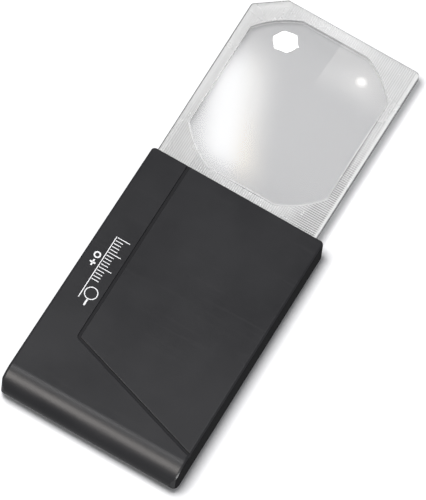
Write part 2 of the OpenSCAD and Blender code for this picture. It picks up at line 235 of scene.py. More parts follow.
def loft(name, rings):
    """A closed skin over rings that all have the same number of points."""
    count = len(rings[0])
    verts = [p for ring in rings for p in ring]
    faces = [list(range(count)), [(len(rings) - 1) * count + k for k in range(count)]]
    for i in range(len(rings) - 1):
        for k in range(count):
            n = (k + 1) % count
            faces.append((i * count + k, i * count + n, (i + 1) * count + n, (i + 1) * count + k))
    return new_object(name, verts, faces)


def box(low, high):
    """A cutting block between two corners."""
    ring = ((low[0], low[1]), (high[0], low[1]), (high[0], high[1]), (low[0], high[1]))
    return loft("block", [[(x, y, z) for x, y in ring] for z in (low[2], high[2])])


def prism(name, outline, layers):
    """A solid over an outline in X and Y. A layer is a pair: how far the outline is moved
    inwards, and a function or number that gives the height."""
    rings = []
    for inset, height in layers:
        moved = offset(outline, inset)
        rings.append([(x, y, height(y) if callable(height) else height) for x, y in moved])
    return loft(name, rings)


def offset(outline, inset):
    """Moves every side of a closed counter-clockwise outline inwards."""
    moved = []
    count = len(outline)
    for k in range(count):
        before = Vector(outline[k]) - Vector(outline[k - 1])
        after = Vector(outline[(k + 1) % count]) - Vector(outline[k])
        a = Vector((-before.y, before.x)).normalized()
        b = Vector((-after.y, after.x)).normalized()
        step = (a + b) / max(0.2, 1 + a.dot(b))
        moved.append(tuple(Vector(outline[k]) + step * inset))
    return moved


def arc(centre, radius, start, end, steps):
    """Points on an arc, from start to end in degrees."""
    turns = [math.radians(start + (end - start) * i / steps) for i in range(steps + 1)]
    return [(centre[0] + radius * math.cos(t), centre[1] + radius * math.sin(t)) for t in turns]


def rounded_corner(before, corner, after, radius, steps=6):
    """Points that replace a corner of an outline by an arc of the given radius."""
    corner = Vector(corner)
    a = (Vector(before) - corner).normalized()
    b = (Vector(after) - corner).normalized()
    half = a.angle(b) / 2
    centre = corner + (a + b).normalized() * radius / math.sin(half)
    first = corner + a * radius / math.tan(half) - centre
    last = corner + b * radius / math.tan(half) - centre
    points = []
    for i in range(steps + 1):
        mid = first.lerp(last, i / steps)
        points.append(tuple(centre + mid.normalized() * radius))
    return points


def rounded_outline(corners, radii, steps=6):
    """A closed outline whose corners have their own radii. A radius of 0 leaves one sharp."""
    points = []
    for k, corner in enumerate(corners):
        if radii[k] == 0:
            points.append(tuple(corner))
        else:
            after = corners[(k + 1) % len(corners)]
            points += rounded_corner(corners[k - 1], corner, after, radii[k], steps)
    return points


def quarter_round(radius, steps=4):
    """Pairs of inset and depth that round an edge."""
    turns = [math.pi / 2 * i / steps for i in range(steps + 1)]
    return [(radius * (1 - math.cos(t)), radius * (1 - math.sin(t))) for t in turns]


def lathe(name, profile, axis_y, axis_z, steps=64):
    """Turns (x, radius) points round an axis along X."""
    rings = []
    for x, radius in profile:
        turns = [2 * math.pi * k / steps for k in range(steps)]
        rings.append([(x, axis_y + radius * math.cos(t), axis_z + radius * math.sin(t)) for t in turns])
    return loft(name, rings)


def cut(obj, operation, *tools):
    """Applies exact booleans with the tools, which are then deleted."""
    for tool in tools:
        modifier = obj.modifiers.new("cut", "BOOLEAN")
        modifier.operation = operation
        modifier.solver = "EXACT"
        modifier.object = tool
    depsgraph = bpy.context.evaluated_depsgraph_get()
    result = bpy.data.meshes.new_from_object(obj.evaluated_get(depsgraph))
    obj.modifiers.clear()
    obj.data = result
    for tool in tools:
        bpy.data.objects.remove(tool)
    clean(obj)
    return obj


def copy_of(obj):
    """A second object with its own copy of the mesh."""
    twin = obj.copy()
    twin.data = obj.data.copy()
    bpy.context.scene.collection.objects.link(twin)
    return twin


def join(name, parts):
    """One object from several closed pieces."""
    bm = bmesh.new()
    for part in parts:
        bm.from_mesh(part.data)
        bpy.data.objects.remove(part)
    mesh = bpy.data.meshes.new(name)
    bm.to_mesh(mesh)
    bm.free()
    obj = bpy.data.objects.new(name, mesh)
    bpy.context.scene.collection.objects.link(obj)
    return obj


def bevel_where(obj, chosen, width, segments=2):
    """Rounds the edges whose two ends both pass the test."""

    def change(bm):
        edges = [e for e in bm.edges if all(chosen(v.co) for v in e.verts)]
        bmesh.ops.bevel(
            bm, geom=edges, offset=width, segments=segments, profile=0.5, affect="EDGES", clamp_overlap=True
        )

    edit(obj, change)
    clean(obj)


def finish_piece(obj, name, material, body, nodes=(), sharp=32):
    """Scales to metres, smooths, and hands the piece to its CAD body."""
    obj.name = name
    obj.data.name = name
    for vertex in obj.data.vertices:
        vertex.co *= MM
    obj.data.materials.clear()
    obj.data.materials.append(material)
    obj.data.shade_smooth()
    obj.data.set_sharp_from_angle(angle=math.radians(sharp))
    weighted = obj.modifiers.new("weighted", "WEIGHTED_NORMAL")
    weighted.keep_sharp = True
    weighted.weight = 80
    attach(obj, body)
    if nodes:
        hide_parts(*nodes)
    return obj


def paint_wall_and_groove_shade(obj):
    """Gives the upright side walls and the groove's walls and floor duller finishes whose darker colour is
    painted shade.
    """
    obj.data.materials.append(painted_shade_side_plastic)
    obj.data.materials.append(painted_shade_groove_plastic)
    side, groove = 1, 2
    upright = 0.8
    inner_x = HALF_W - LONG_EDGE_R
    for face in obj.data.polygons:
        place = face.center / MM
        depth = top_z(place.y) - place.z
        on_top = abs(place.x) < inner_x and BARREL_Y + 1 < place.y < MOUTH_Y - MOUTH_EDGE_R
        # Painted shade: the groove's faces and the upright walls take the darker finishes.
        if on_top and GROOVE_ROUND * 0.9 < depth < PANEL_T + 0.01:
            face.material_index = groove
        elif abs(face.normal.x) > upright:
            face.material_index = side


# ---- Materials -------------------------------------------------------------------------------


class Nodes:
    """A short way to write a material's nodes. Points are in the object's own metres."""

    def __init__(self, name):
        self.material = bpy.data.materials.new(name)
        self.material.use_nodes = True
        self.tree = self.material.node_tree
        self.shader = self.tree.nodes["Principled BSDF"]
        self.output = self.tree.nodes["Material Output"]
        self.place = self.tree.nodes.new("ShaderNodeTexCoord").outputs["Object"]

    def add(self, kind, **settings):
        """A new shader node with these settings."""
        node = self.tree.nodes.new("ShaderNode" + kind)
        for key, value in settings.items():
            setattr(node, key, value)
        return node

    def link(self, start, end):
        """Joins an output to an input."""
        self.tree.links.new(start, end)

    def noise(self, scale, detail=3.0, stretch=(1, 1, 1)):
        """Noise with about scale lumps to the metre."""
        mapping = self.add("Mapping")
        mapping.inputs["Scale"].default_value = stretch
        self.link(self.place, mapping.inputs["Vector"])
        node = self.add("TexNoise")
        node.inputs["Scale"].default_value = scale
        node.inputs["Detail"].default_value = detail
        self.link(mapping.outputs["Vector"], node.inputs["Vector"])
        return node.outputs["Fac"]

    def span(self, value, low, high, start=0.3, end=0.7):
        """Maps a value from start..end to low..high."""
        node = self.add("MapRange")
        self.link(value, node.inputs["Value"])
        node.inputs["From Min"].default_value = start
        node.inputs["From Max"].default_value = end
        node.inputs["To Min"].default_value = low
        node.inputs["To Max"].default_value = high
        return node.outputs["Result"]

    def math(self, operation, a, b):
        """A sum of two values, each a number or a socket."""
        node = self.add("Math", operation=operation)
        for socket, value in zip(node.inputs, (a, b)):
            if isinstance(value, (int, float)):
                socket.default_value = value
            else:
                self.link(value, socket)
        return node.outputs["Value"]

    def mix(self, factor, a, b):
        """Mixes two colours, each a tuple or a socket."""
        node = self.add("Mix", data_type="RGBA")
        self.link(factor, node.inputs["Factor"])
        for socket, value in ((node.inputs[6], a), (node.inputs[7], b)):
            if isinstance(value, tuple):
                socket.default_value = (*value, 1)
            else:
                self.link(value, socket)
        return node.outputs[2]

    def edges(self, radius):
        """Near 1 on edges and 0 on open faces."""
        bevel = self.add("Bevel", samples=4)
        bevel.inputs["Radius"].default_value = radius
        geometry = self.add("NewGeometry")
        dot = self.add("VectorMath", operation="DOT_PRODUCT")
        self.link(bevel.outputs["Normal"], dot.inputs[0])
        self.link(geometry.outputs["Normal"], dot.inputs[1])
        return self.span(dot.outputs["Value"], 1.0, 0.0, 0.75, 0.99)

    def bump(self, height, strength, distance):
        """Relief of the given height in metres."""
        node = self.add("Bump")
        node.inputs["Strength"].default_value = strength
        node.inputs["Distance"].default_value = distance
        self.link(height, node.inputs["Height"])
        self.link(node.outputs["Normal"], self.shader.inputs["Normal"])

    def set(self, **values):
        """Sets the shader's sockets to numbers, colours or other nodes' outputs."""
        for key, value in values.items():
            socket = self.shader.inputs[key.replace("_", " ")]
            if isinstance(value, tuple):
                socket.default_value = (*value, 1)
            elif isinstance(value, (int, float)):
                socket.default_value = value
            else:
                self.link(value, socket)
        return self.material


def moulded_plastic(name, dark, light, rough, grain=5200, wear=0.5, specular=0.4):
    """Moulded plastic with a fine spark-eroded grain, faint clouding, hair scratches and rubbed edges."""
    n = Nodes(name)
    cloud = n.noise(55, 4)
    grit = n.noise(grain, 2)
    scratch = n.noise(900, 3, (0.06, 1.3, 1))
    colour = n.mix(n.span(cloud, 0, 1), dark, light)
    rubbed = tuple(min(1, c * 2.1 + 0.012) for c in light)
    wear_and_patchy_shade = n.math("MULTIPLY", n.edges(0.0004), n.span(n.noise(420, 4), 0.1, wear))
    colour = n.mix(wear_and_patchy_shade, colour, rubbed)
    scratched = n.span(scratch, 0, 0.09, 0.58, 0.75)
    roughness = n.math("ADD", n.span(cloud, rough - 0.04, rough + 0.04), scratched)
    height = n.math("ADD", grit, n.math("MULTIPLY", scratch, 0.12))
    n.bump(height, 0.35, 0.00004)
    return n.set(Base_Color=colour, Roughness=roughness, Specular_IOR_Level=specular)


def metal(name, dark, light, rough, stretch=(1, 1, 1), grain=2600):
    """Metal with drawing lines, small stains and brighter rubbed edges."""
    n = Nodes(name)
    lines = n.noise(grain, 3, stretch)
    stain = n.noise(260, 5)
    colour = n.mix(n.span(stain, 0, 1), dark, light)
    rubbed = tuple(min(1, c * 1.15) for c in light)
    colour = n.mix(n.math("MULTIPLY", n.edges(0.00015), 0.6), colour, rubbed)
    stained = n.span(stain, 0, 0.12, 0.5, 0.75)
    roughness = n.math("ADD", n.span(lines, rough - 0.06, rough + 0.06), stained)
    n.bump(lines, 0.3, 0.00002)
    return n.set(Base_Color=colour, Roughness=roughness, Metallic=1.0)


def grey(value):
    """A colour whose three parts are the same."""
    return (value, value, value)


def stripes(n, axis, pitch, first):
    """Runs 0 to 1 and back over every rib along an axis, in millimetres."""
    place = n.add("SeparateXYZ")
    n.link(n.place, place.inputs["Vector"])
    turns = n.math("DIVIDE", n.math("SUBTRACT", place.outputs[axis], first * MM), pitch * MM)
    return n.math("PINGPONG", n.math("MULTIPLY", turns, 2.0), 1.0)


def clear_acrylic(name, tint, passes):
    """Clear plastic. A shadow ray passes through it with a slight loss."""
    n = Nodes(name)
    n.bump(n.noise(120, 1), 0.04, 0.00002)
    n.set(Base_Color=grey(tint), Roughness=0.0, Transmission_Weight=1.0, IOR=1.49)
    return let_light_through(n, passes)


def let_light_through(n, passes):
    """Makes shadow rays pass straight through, dimmed once at each surface."""
    through = n.add("BsdfTransparent")
    through.inputs["Color"].default_value = (passes, passes, passes, 1)
    either = n.add("MixShader")
    n.link(n.add("LightPath").outputs["Is Shadow Ray"], either.inputs["Fac"])
    n.link(n.shader.outputs["BSDF"], either.inputs[1])
    n.link(through.outputs["BSDF"], either.inputs[2])
    n.link(either.outputs["Shader"], n.output.inputs["Surface"])
    return n.material


def ribbed_face(name, crest, painted_rib_shade, clear, passes, painted_highlight_strip=None):
    """A partly frosted finish with painted light for the plate's ribbed top, its edges and its side walls.
    Crest is the grey of open places on the left and the right, greyer on the left as painted shade;
    the rib shade is the painted grey of the ribs' shaded sides, and the highlight a painted pale line
    along the right edge. Painted rib lines run along Y near the case and on the right, and deeper ones
    cross them on the right, where they fade away from the case."""
    n = Nodes(name)
    place = n.add("SeparateXYZ")
    n.link(n.place, place.inputs["Vector"])

    def along(axis, low, high, start, end):
        """Maps a place on an axis, from start to end in millimetres, to low..high."""
        return n.span(place.outputs[axis], low, high, start * MM, end * MM)

    # A noise makes the painted rib shade patchy.
    wear_and_patchy_shade = n.span(n.noise(240, 3), 0.75, 1.0)
    where = n.math("MAXIMUM", along("Y", 1, 0, 50, 62), along("X", 0, 1, 4, 15))
    long_ribs = stripes(n, "X", RIB_PITCH, RIB_FIRST)
    long_ribs = n.math("MULTIPLY", long_ribs, n.math("MULTIPLY", where, 0.5))
    beside = along("X", 0, 1, 9, 19)
    near = along("Y", 1, 0.12, 55, 84)
    cross = n.span(stripes(n, "Y", CROSS_PITCH, CROSS_FIRST), 0, 1, 0.3, 0.7)
    cross = n.math("MULTIPLY", cross, n.math("MULTIPLY", beside, near))
    shade = n.math("MULTIPLY", n.math("MAXIMUM", long_ribs, cross), wear_and_patchy_shade)
    # Painted shade: the open places are greyer on the left than on the right.
    left, right = crest
    colour = n.mix(along("X", 0, 1, -25, -6), grey(left), grey(right))
    colour = n.mix(shade, colour, grey(painted_rib_shade))
    # Painted highlight: a pale line along the right edge.
    if painted_highlight_strip:
        colour = n.mix(along("X", 0, 1, 23.3, 23.9), colour, grey(painted_highlight_strip))
    smear = n.noise(160, 4)
    n.bump(smear, 0.05, 0.00002)
    n.set(Base_Color=colour, Roughness=n.span(smear, 0.2, 0.3), Transmission_Weight=clear, IOR=1.49)
    return let_light_through(n, passes)


def printed_ink(name):
    """White printing ink, a little thin in places."""
    n = Nodes(name)
    thin = n.noise(2600, 4)
    colour = n.mix(n.span(thin, 0, 1, 0.35, 0.65), (0.66, 0.66, 0.68), (0.86, 0.86, 0.87))
    n.bump(thin, 0.2, 0.00001)
    return n.set(Base_Color=colour, Roughness=n.span(thin, 0.45, 0.6))


def cell_wrapper(name):
    """Shrunk film with a copper-coloured band at the positive end and a thin pale ring beside it."""
    n = Nodes(name)
    axis = n.add("SeparateXYZ")
    n.link(n.place, axis.inputs["Vector"])
    along = n.span(axis.outputs["X"], 0, 1, CELL_X[0] * MM, CELL_X[1] * MM)
    ramp = n.add("ValToRGB")
    ramp.color_ramp.interpolation = "CONSTANT"
    bands = ((0, (0.022, 0.027, 0.038)), (0.70, (0.55, 0.52, 0.45)), (0.716, (0.42, 0.17, 0.07)))
    for k, (start, colour) in enumerate(bands):
        element = ramp.color_ramp.elements[k] if k < 2 else ramp.color_ramp.elements.new(start)
        element.position = start
        element.color = (*colour, 1)
    n.link(along, ramp.inputs["Fac"])
    cloud = n.noise(300, 4)
    colour = n.mix(n.span(cloud, 0, 0.25), ramp.outputs["Color"], (0.1, 0.1, 0.11))
    n.bump(n.noise(700, 3, (0.2, 1, 1)), 0.25, 0.00003)
    return n.set(Base_Color=colour, Roughness=n.span(cloud, 0.24, 0.4), Coat_Weight=0.5, Coat_Roughness=0.15)


# A darker, duller copy of the case's plastic for the upright side walls: its darker colour is painted shade.
painted_shade_side_plastic = moulded_plastic(
    "painted_shade_side_plastic", (0.0100, 0.0100, 0.0112), (0.0125, 0.0125, 0.0138), 0.78, specular=0.06
)
# A darker copy of the case's plastic for the groove's walls and floor: painted shade in the recess.
painted_shade_groove_plastic = moulded_plastic(
    "painted_shade_groove_plastic", (0.0115, 0.0115, 0.0130), (0.0145, 0.0145, 0.0160), 0.55, specular=0.16
)
case_plastic = moulded_plastic(
    "case_plastic", (0.0140, 0.0140, 0.0158), (0.0175, 0.0175, 0.0196), 0.38, specular=0.3
)
carriage_plastic = moulded_plastic("carriage_plastic", (0.030, 0.030, 0.031), (0.040, 0.040, 0.041), 0.5)
reflector_white = moulded_plastic("reflector_white", (0.72, 0.72, 0.70), (0.80, 0.80, 0.78), 0.4, wear=0.1)
board_laminate = moulded_plastic(
    "board_laminate", (0.010, 0.075, 0.035), (0.016, 0.110, 0.050), 0.35, 3000, 0.3
)
led_phosphor = moulded_plastic("led_phosphor", (0.70, 0.66, 0.32), (0.80, 0.76, 0.42), 0.35, wear=0.1)
chip_epoxy = moulded_plastic("chip_epoxy", (0.018, 0.018, 0.020), (0.027, 0.027, 0.029), 0.6, 9000)
coil_ferrite = moulded_plastic("coil_ferrite", (0.045, 0.040, 0.036), (0.065, 0.058, 0.052), 0.55, 7000)
capacitor_ceramic = moulded_plastic("capacitor_ceramic", (0.33, 0.23, 0.13), (0.42, 0.30, 0.18), 0.4, 7000)
screw_steel = metal("screw_steel", (0.50, 0.51, 0.53), (0.66, 0.67, 0.69), 0.3)
spring_steel = metal("spring_steel", (0.55, 0.55, 0.56), (0.72, 0.72, 0.73), 0.25, (0.3, 1, 1))
contact_metal = metal("contact_metal", (0.62, 0.57, 0.42), (0.76, 0.71, 0.55), 0.28, (0.15, 1, 1))
can_steel = metal("can_steel", (0.58, 0.59, 0.61), (0.74, 0.75, 0.77), 0.24)
lens_acrylic = clear_acrylic("lens_acrylic", 0.95, 0.69)
# The ribbed top: painted shade greyer on the left, painted rib shade, and a painted highlight along the
# right edge.
ribbed_acrylic = ribbed_face("ribbed_acrylic", (0.56, 0.73), 0.2, 0.3, 0.3, painted_highlight_strip=0.84)
# The underside's grey tint is painted shade: it darkens what is seen through the plate.
under_acrylic = clear_acrylic("under_acrylic", 0.7, 0.6)
# Pale, mostly frosted finish: a painted highlight on the lens's chamfer and the plate's right edge.
painted_highlight_acrylic = ribbed_face("painted_highlight_acrylic", (0.86, 0.86), 0.80, 0.3, 0.4, painted_highlight_strip=0.84)
# Nearly black finish: a painted dark line along the plate's other rounded edges.
painted_dark_edge_acrylic = ribbed_face("painted_dark_edge_acrylic", (0.10, 0.10), 0.08, 0.3, 0.3)
# Grey finish: painted shade on the plate's upright walls and its low faces.
painted_shade_wall_acrylic = ribbed_face("painted_shade_wall_acrylic", (0.34, 0.34), 0.26, 0.5, 0.4)
ink = printed_ink("print_ink")
cell_wrap = cell_wrapper("cell_wrap")


# ---- The case --------------------------------------------------------------------------------


def side_profile():
    """The case seen from its side, in Y and Z. It runs 1 mm past the mouth."""
    past = MOUTH_Y + 1
    around = arc((BARREL_Y, BARREL_R), SKIN_R, math.degrees(TOUCH_ANGLE), 270, 72)
    return [(past, 0), (past, top_z(past)), *around]


def case_solid():
    """The whole case without its hollows, every outer edge rounded."""
    profile = side_profile()
    rings = []
    steps = quarter_round(LONG_EDGE_R, 5)
    for side, ordered in ((-1, steps), (1, reversed(steps))):
        for side_inset, inset in ordered:
            moved = offset(profile, inset)
            rings.append([(side * (half_width(y) - side_inset), y, z) for y, z in moved])
    body = loft("case", rings)
    corners = [
        (-half_width(BACK_Y) - SLACK, BACK_Y - SLACK),
        (half_width(BACK_Y) + SLACK, BACK_Y - SLACK),
        (HALF_W + SLACK, MOUTH_Y),
        (-HALF_W - SLACK, MOUTH_Y),
    ]
    radii = (BACK_CORNER_R, BACK_CORNER_R, MOUTH_CORNER_R, MOUTH_CORNER_R)
    outline = rounded_outline(corners, radii, 10)
    edge = quarter_round(MOUTH_EDGE_R)
    low = [(inset, depth - SLACK) for inset, depth in reversed(edge)]
    high = [(inset, sloped(depth - SLACK)) for inset, depth in edge]
    plan = prism("plan", outline, low + high)
    return cut(body, "INTERSECT", plan, belly())


def belly():
    """A tool that rounds the underside's long edges and its corners at the mouth more than the
    top's. Its mouth side draws in half as far as its long sides."""
    rings = []
    layers = [*reversed(quarter_round(UNDER_EDGE_R, 6)), (0, BARREL_R * 3)]
    for inset, z in layers:
        back = half_width(BACK_Y) + SLACK - inset
        front = HALF_W + SLACK - inset
        front_y = MOUTH_Y + SLACK - inset / 2
        corners = [(-back, BACK_Y - 1), (back, BACK_Y - 1), (front, front_y), (-front, front_y)]
        radius = MOUTH_CORNER_R + inset * UNDER_CORNER_GROWTH
        rings.append([(x, y, z) for x, y in rounded_outline(corners, (0, 0, radius, radius), 10)])
    return loft("belly", rings)


def panel_outline(shift):
    """The panel's plan, its two grooved edges moved inwards by shift and its bend rounded."""
    x0 = GROOVE_X + shift
    lift = shift / math.cos(GROOVE_ANGLE)
    end = HALF_W + 2
    corners = [
        (x0, BEND_Y - shift * math.tan(GROOVE_ANGLE) + lift),
        (end, BEND_Y - (end - GROOVE_X) * math.tan(GROOVE_ANGLE) + lift),
        (end, MOUTH_Y + 1),
        (x0, MOUTH_Y + 1),
    ]
    return rounded_outline(corners, (BEND_R - shift, 0, 0, 0), 6)


def sloped(depth):
    """A height function that stays depth under the case's top."""
    return lambda y: top_z(y) - depth


def barrel_rod(radius, x0, x1):
    """A rod along the barrel's axis."""
    return lathe("rod", [(x0, radius), (x1, radius)], BARREL_Y, BARREL_R, 96)


def bay():
    """The space that the lens and its carriage move in."""
    ring = ((BAY_X[0], BAY_Y[0]), (BAY_X[1], BAY_Y[0]), (BAY_X[1], BAY_Y[1]), (BAY_X[0], BAY_Y[1]))
    return prism("bay", ring, [(0, FLOOR_T), (0, sloped(ROOF_T))])


def mouth_cutters():
    """The slot for the plate and the window for the lens, each with a small lead-in."""
    over = 0.01
    layers = (
        (BAY_Y[1] - over, 0),
        (MOUTH_Y - LEAD_IN, 0),
        (MOUTH_Y + over, LEAD_IN),
        (MOUTH_Y + 1, LEAD_IN),
    )
    tools = []
    for (x0, x1), (z0, z1) in ((SLOT_X, SLOT_Z), (WINDOW_X, WINDOW_Z)):
        rings = []
        for y, grow in layers:
            left, right, low, high = x0 - grow, x1 + grow, z0 - grow, z1 + grow
            rings.append([(left, y, low), (right, y, low), (right, y, high), (left, y, high)])
        tools.append(loft("mouth", rings))
    return tools


def case_piece(obj, node):
    """Finishes a shell or the panel in the case's plastic, with painted shade on its upright walls and in
    its groove.
    """
    paint_wall_and_groove_shade(finish_piece(obj, node + "_body", case_plastic, "case", [node]))


def make_case():
    """The two shells, the inlaid panel and the battery door, all cut from one rounded body."""
    body = case_solid()
    lower = cut(copy_of(body), "DIFFERENCE", box((-FAR, -FAR, SEAM_Z), (FAR, FAR, FAR)))
    upper = cut(copy_of(body), "DIFFERENCE", box((-FAR, -FAR, -FAR), (FAR, FAR, SEAM_Z)))
    for half in (lower, upper):
        bevel_where(half, lambda p: abs(p.z - SEAM_Z) < 1e-3, SEAM_BEVEL)

    recess = prism("recess", panel_outline(-GROOVE_W / 2), [(0, sloped(PANEL_T)), *lip(-1)])
    cut(upper, "DIFFERENCE", recess, bay(), *mouth_cutters(), barrel_rod(COMP_R, *COMP_X))
    cut(upper, "UNION", bead_bar(body))
    case_piece(upper, "top_shell")

    panel_tool = prism("panel", panel_outline(GROOVE_W / 2), [(0, sloped(PANEL_T)), *lip(1)])
    case_piece(cut(copy_of(body), "INTERSECT", panel_tool), "face_panel")

    cut(
        lower,
        "DIFFERENCE",
        bay(),
        *mouth_cutters(),
        box((COMP_X[0], -FAR, -FAR), (COMP_X[1], WALL_Y, FAR)),
        box((COMP_X[0], WALL_Y - 1, -FAR), (COMP_X[1], FLAP_Y + 0.1, FLAP_T + 0.1)),
    )
    case_piece(lower, "bottom_shell")
    make_door(body)
    bpy.data.objects.remove(body)


def lip(side):
    """Layers that round an edge at the groove: the recess widens (-1) and the panel draws in (1)."""
    layers = [(side * inset, sloped(depth)) for inset, depth in quarter_round(GROOVE_ROUND)]
    return [*layers, (side * GROOVE_ROUND, sloped(-2))]


def bead_bar(body):
    """The low bead in the middle of the groove's straight run."""
    y0 = BEND_Y + 1
    x0, x1 = GROOVE_X - BEAD_W / 2, GROOVE_X + BEAD_W / 2
    ring = ((x0, y0), (x1, y0), (x1, MOUTH_Y + 1), (x0, MOUTH_Y + 1))
    edge = [(inset, sloped(BEAD_DEPTH + depth)) for inset, depth in quarter_round(BEAD_ROUND, 3)]
    bead = prism("bead", ring, [(0, sloped(PANEL_T + 0.1)), *reversed(edge)])
    return cut(bead, "INTERSECT", copy_of(body))


def make_door(body):
    """The battery door, with rounded finger grooves and two tongues."""
    x0, x1 = COMP_X[0] + DOOR_GAP, COMP_X[1] - DOOR_GAP
    door = cut(copy_of(body), "INTERSECT", box((x0, -FAR, -FAR), (x1, FLAP_Y, DOOR_TOP_Z)))

    def on_rim(p):
        """True on the door's two end faces and its front edge."""
        return min(abs(p.x - x0), abs(p.x - x1), abs(p.y - FLAP_Y)) < 1e-3

    bevel_where(door, on_rim, DOOR_BEVEL)
    hollow = box((-FAR, BARREL_Y, FLAP_T), (FAR, FAR, FAR))
    cut(door, "DIFFERENCE", barrel_rod(COMP_R, -FAR, FAR), hollow)
    cut(door, "DIFFERENCE", *[door_grip(GRIP_FIRST_Y + i * GRIP_PITCH) for i in range(GRIP_COUNT)])
    cut(door, "UNION", *[door_tongue(x) for x in TONGUE_PLACES])
    finish_piece(door, "battery_door_body", case_plastic, "battery_hatch", ["battery_door"])


def door_grip(y):
    """A rod with round ends that cuts one finger groove."""
    turns = [math.radians(a) for a in range(0, 91, 15)]
    straight = GRIP_HALF_L - GRIP_R
    end = [(straight + GRIP_R * math.sin(t), max(GRIP_R * math.cos(t), 0.002)) for t in turns]
    return lathe("grip", [(-x, r) for x, r in reversed(end)] + end, y, GRIP_AXIS_Z, 20)


def door_tongue(x):
    """A flat tongue that reaches under the floor of the case."""
    x0, x1 = x - TONGUE_HALF_W, x + TONGUE_HALF_W
    y0, y1 = FLAP_Y - 1, FLAP_Y + TONGUE_L
    radii = (0, 0, TONGUE_CORNER_R, TONGUE_CORNER_R)
    outline = rounded_outline([(x0, y0), (x1, y0), (x1, y1), (x0, y1)], radii)
    return prism("tongue", outline, [(0, TONGUE_Z[0]), (0, TONGUE_Z[1])])


# ---- The lens plate --------------------------------------------------------------------------


def plate_outline():
    """The plate's plan: one corner cut off, the others eased."""
    x0, x1 = PLATE_X
    y0, y1 = PLATE_Y
    corners = [(x0, y0), (x1, y0), (x1, y1), (x0 + PLATE_CUT[0], y1), (x0, y1 - PLATE_CUT[1])]
    return rounded_outline(corners, PLATE_CORNER_RADII, 6)


def ribbed_top():
    """A tool whose upper face carries fine ribs along Y: shallow on the left, deeper on the right."""
    crest = PLATE_Z[1] - RIB_CREST_GAP
    points = [(PLATE_X[0] - 1, crest)]
    x = RIB_FIRST
    while x < PLATE_X[1] - 1:
        depth = SHALLOW_RIB_DEPTH if x < SHALLOW_RIBS_END_X else RIB_DEPTH
        points += [(x, crest), (x + RIB_PITCH / 2, crest - depth)]
        x += RIB_PITCH
    points += [(x, crest), (PLATE_X[1] + 1, crest)]
    profile = [(PLATE_X[1] + 1, PLATE_Z[0] - 1), *reversed(points), (PLATE_X[0] - 1, PLATE_Z[0] - 1)]
    ends = (PLATE_Y[0] - 1, PLATE_Y[1] + 1)
    return loft("ribs", [[(px, y, pz) for px, pz in profile] for y in ends])


def cross_ribs():
    """V-grooves across the plate's underside, beside and below the lens on the right."""
    outside = PLATE_Z[0] - 0.02
    half = CROSS_PITCH * 0.45
    grooves = []
    y = CROSS_FIRST
    while y < PLATE_Y[1] - CROSS_MARGIN:
        ring = ((y - half, outside), (y, PLATE_Z[0] + CROSS_DEPTH), (y + half, outside))
        grooves.append(loft("groove", [[(x, py, pz) for py, pz in ring] for x in CROSS_X]))
        y += CROSS_PITCH
    return join("grooves", grooves)


def lens_rim():
    """Pairs of angle and radius round the lens: a circle that is cut off straight on four sides."""
    flat_x = math.acos(LENS_HALF[0] / LENS_R)
    flat_y = math.asin(LENS_HALF[1] / LENS_R)
    half = [math.pi / 2]
    for start, end, steps in ((0, flat_x, 22), (flat_x, flat_y, 26), (flat_y, math.pi / 2, 14)):
        half += [start + (end - start) * i / steps for i in range(steps)]
    half += [math.pi - a for a in half if a > 0]
    rim = []
    for a in sorted({round(a + turn, 9) for a in half for turn in (0, math.pi)}):
        to_side = LENS_HALF[0] / max(1e-9, abs(math.cos(a)))
        to_end = LENS_HALF[1] / max(1e-9, abs(math.sin(a)))
        rim.append((a, min(LENS_R, to_side, to_end)))
    return rim


def lens_solid():
    """Both domes and the wall between them, with a chamfer round each dome."""
    rim = lens_rim()
    middle = (PLATE_Z[0] + PLATE_Z[1]) / 2
    face = (PLATE_Z[1] - PLATE_Z[0]) / 2 + LENS_STEP

    def height(r):
        """A dome's height over the plate's middle."""
        return face + DOME_RISE - (DOME_R - math.sqrt(DOME_R ** 2 - r ** 2))

    def place(side, a, r, drop):
        """A point by its angle and radius, drop inside its dome."""
        z = middle + side * (height(r) - drop)
        return (LENS_X + r * math.cos(a), LENS_Y + r * math.sin(a), z)

    rings = []
    for side in (-1, 1):
        part = []
        for i in range(1, LENS_RINGS + 1):
            part.append([(a, (reach - LENS_CHAMFER) * i / LENS_RINGS, 0) for a, reach in rim])
        part.append([(a, reach, LENS_CHAMFER) for a, reach in rim])
        if side == 1:
            part.reverse()
        rings += [[place(side, *point) for point in ring] for ring in part]
    return loft("lens", rings)


def make_plate():
    """The clear plate with its ribs, its lens and its two peg holes, in six finishes."""
    edge = quarter_round(PLATE_EDGE_R, 3)
    low = [(inset, PLATE_Z[0] + depth) for inset, depth in reversed(edge)]
    high = [(inset, PLATE_Z[1] - depth) for inset, depth in edge]
    plate = prism("plate", plate_outline(), low + high)
    cut(plate, "INTERSECT", ribbed_top())
    cut(plate, "DIFFERENCE", cross_ribs())
    cut(plate, "UNION", lens_solid())
    holes = []
    for place in PEG_PLACES:
        outline = arc(place, PEG_HOLE_R, 0, 360, 40)[:-1]
        holes.append(prism("hole", outline, [(0, PLATE_Z[0] - 1), (0, PLATE_Z[1] + 1)]))
    cut(plate, "DIFFERENCE", *holes)
    finish_piece(plate, "lens_plate_body", lens_acrylic, "lens_slide", ["lens_plate"], 25)
    for material in (ribbed_acrylic, under_acrylic, painted_highlight_acrylic, painted_dark_edge_acrylic, painted_shade_wall_acrylic):
        plate.data.materials.append(material)
    for face in plate.data.polygons:
        face.material_index = plate_finish(face.center.z / MM, face.normal)
        face.use_smooth = face.material_index == 0


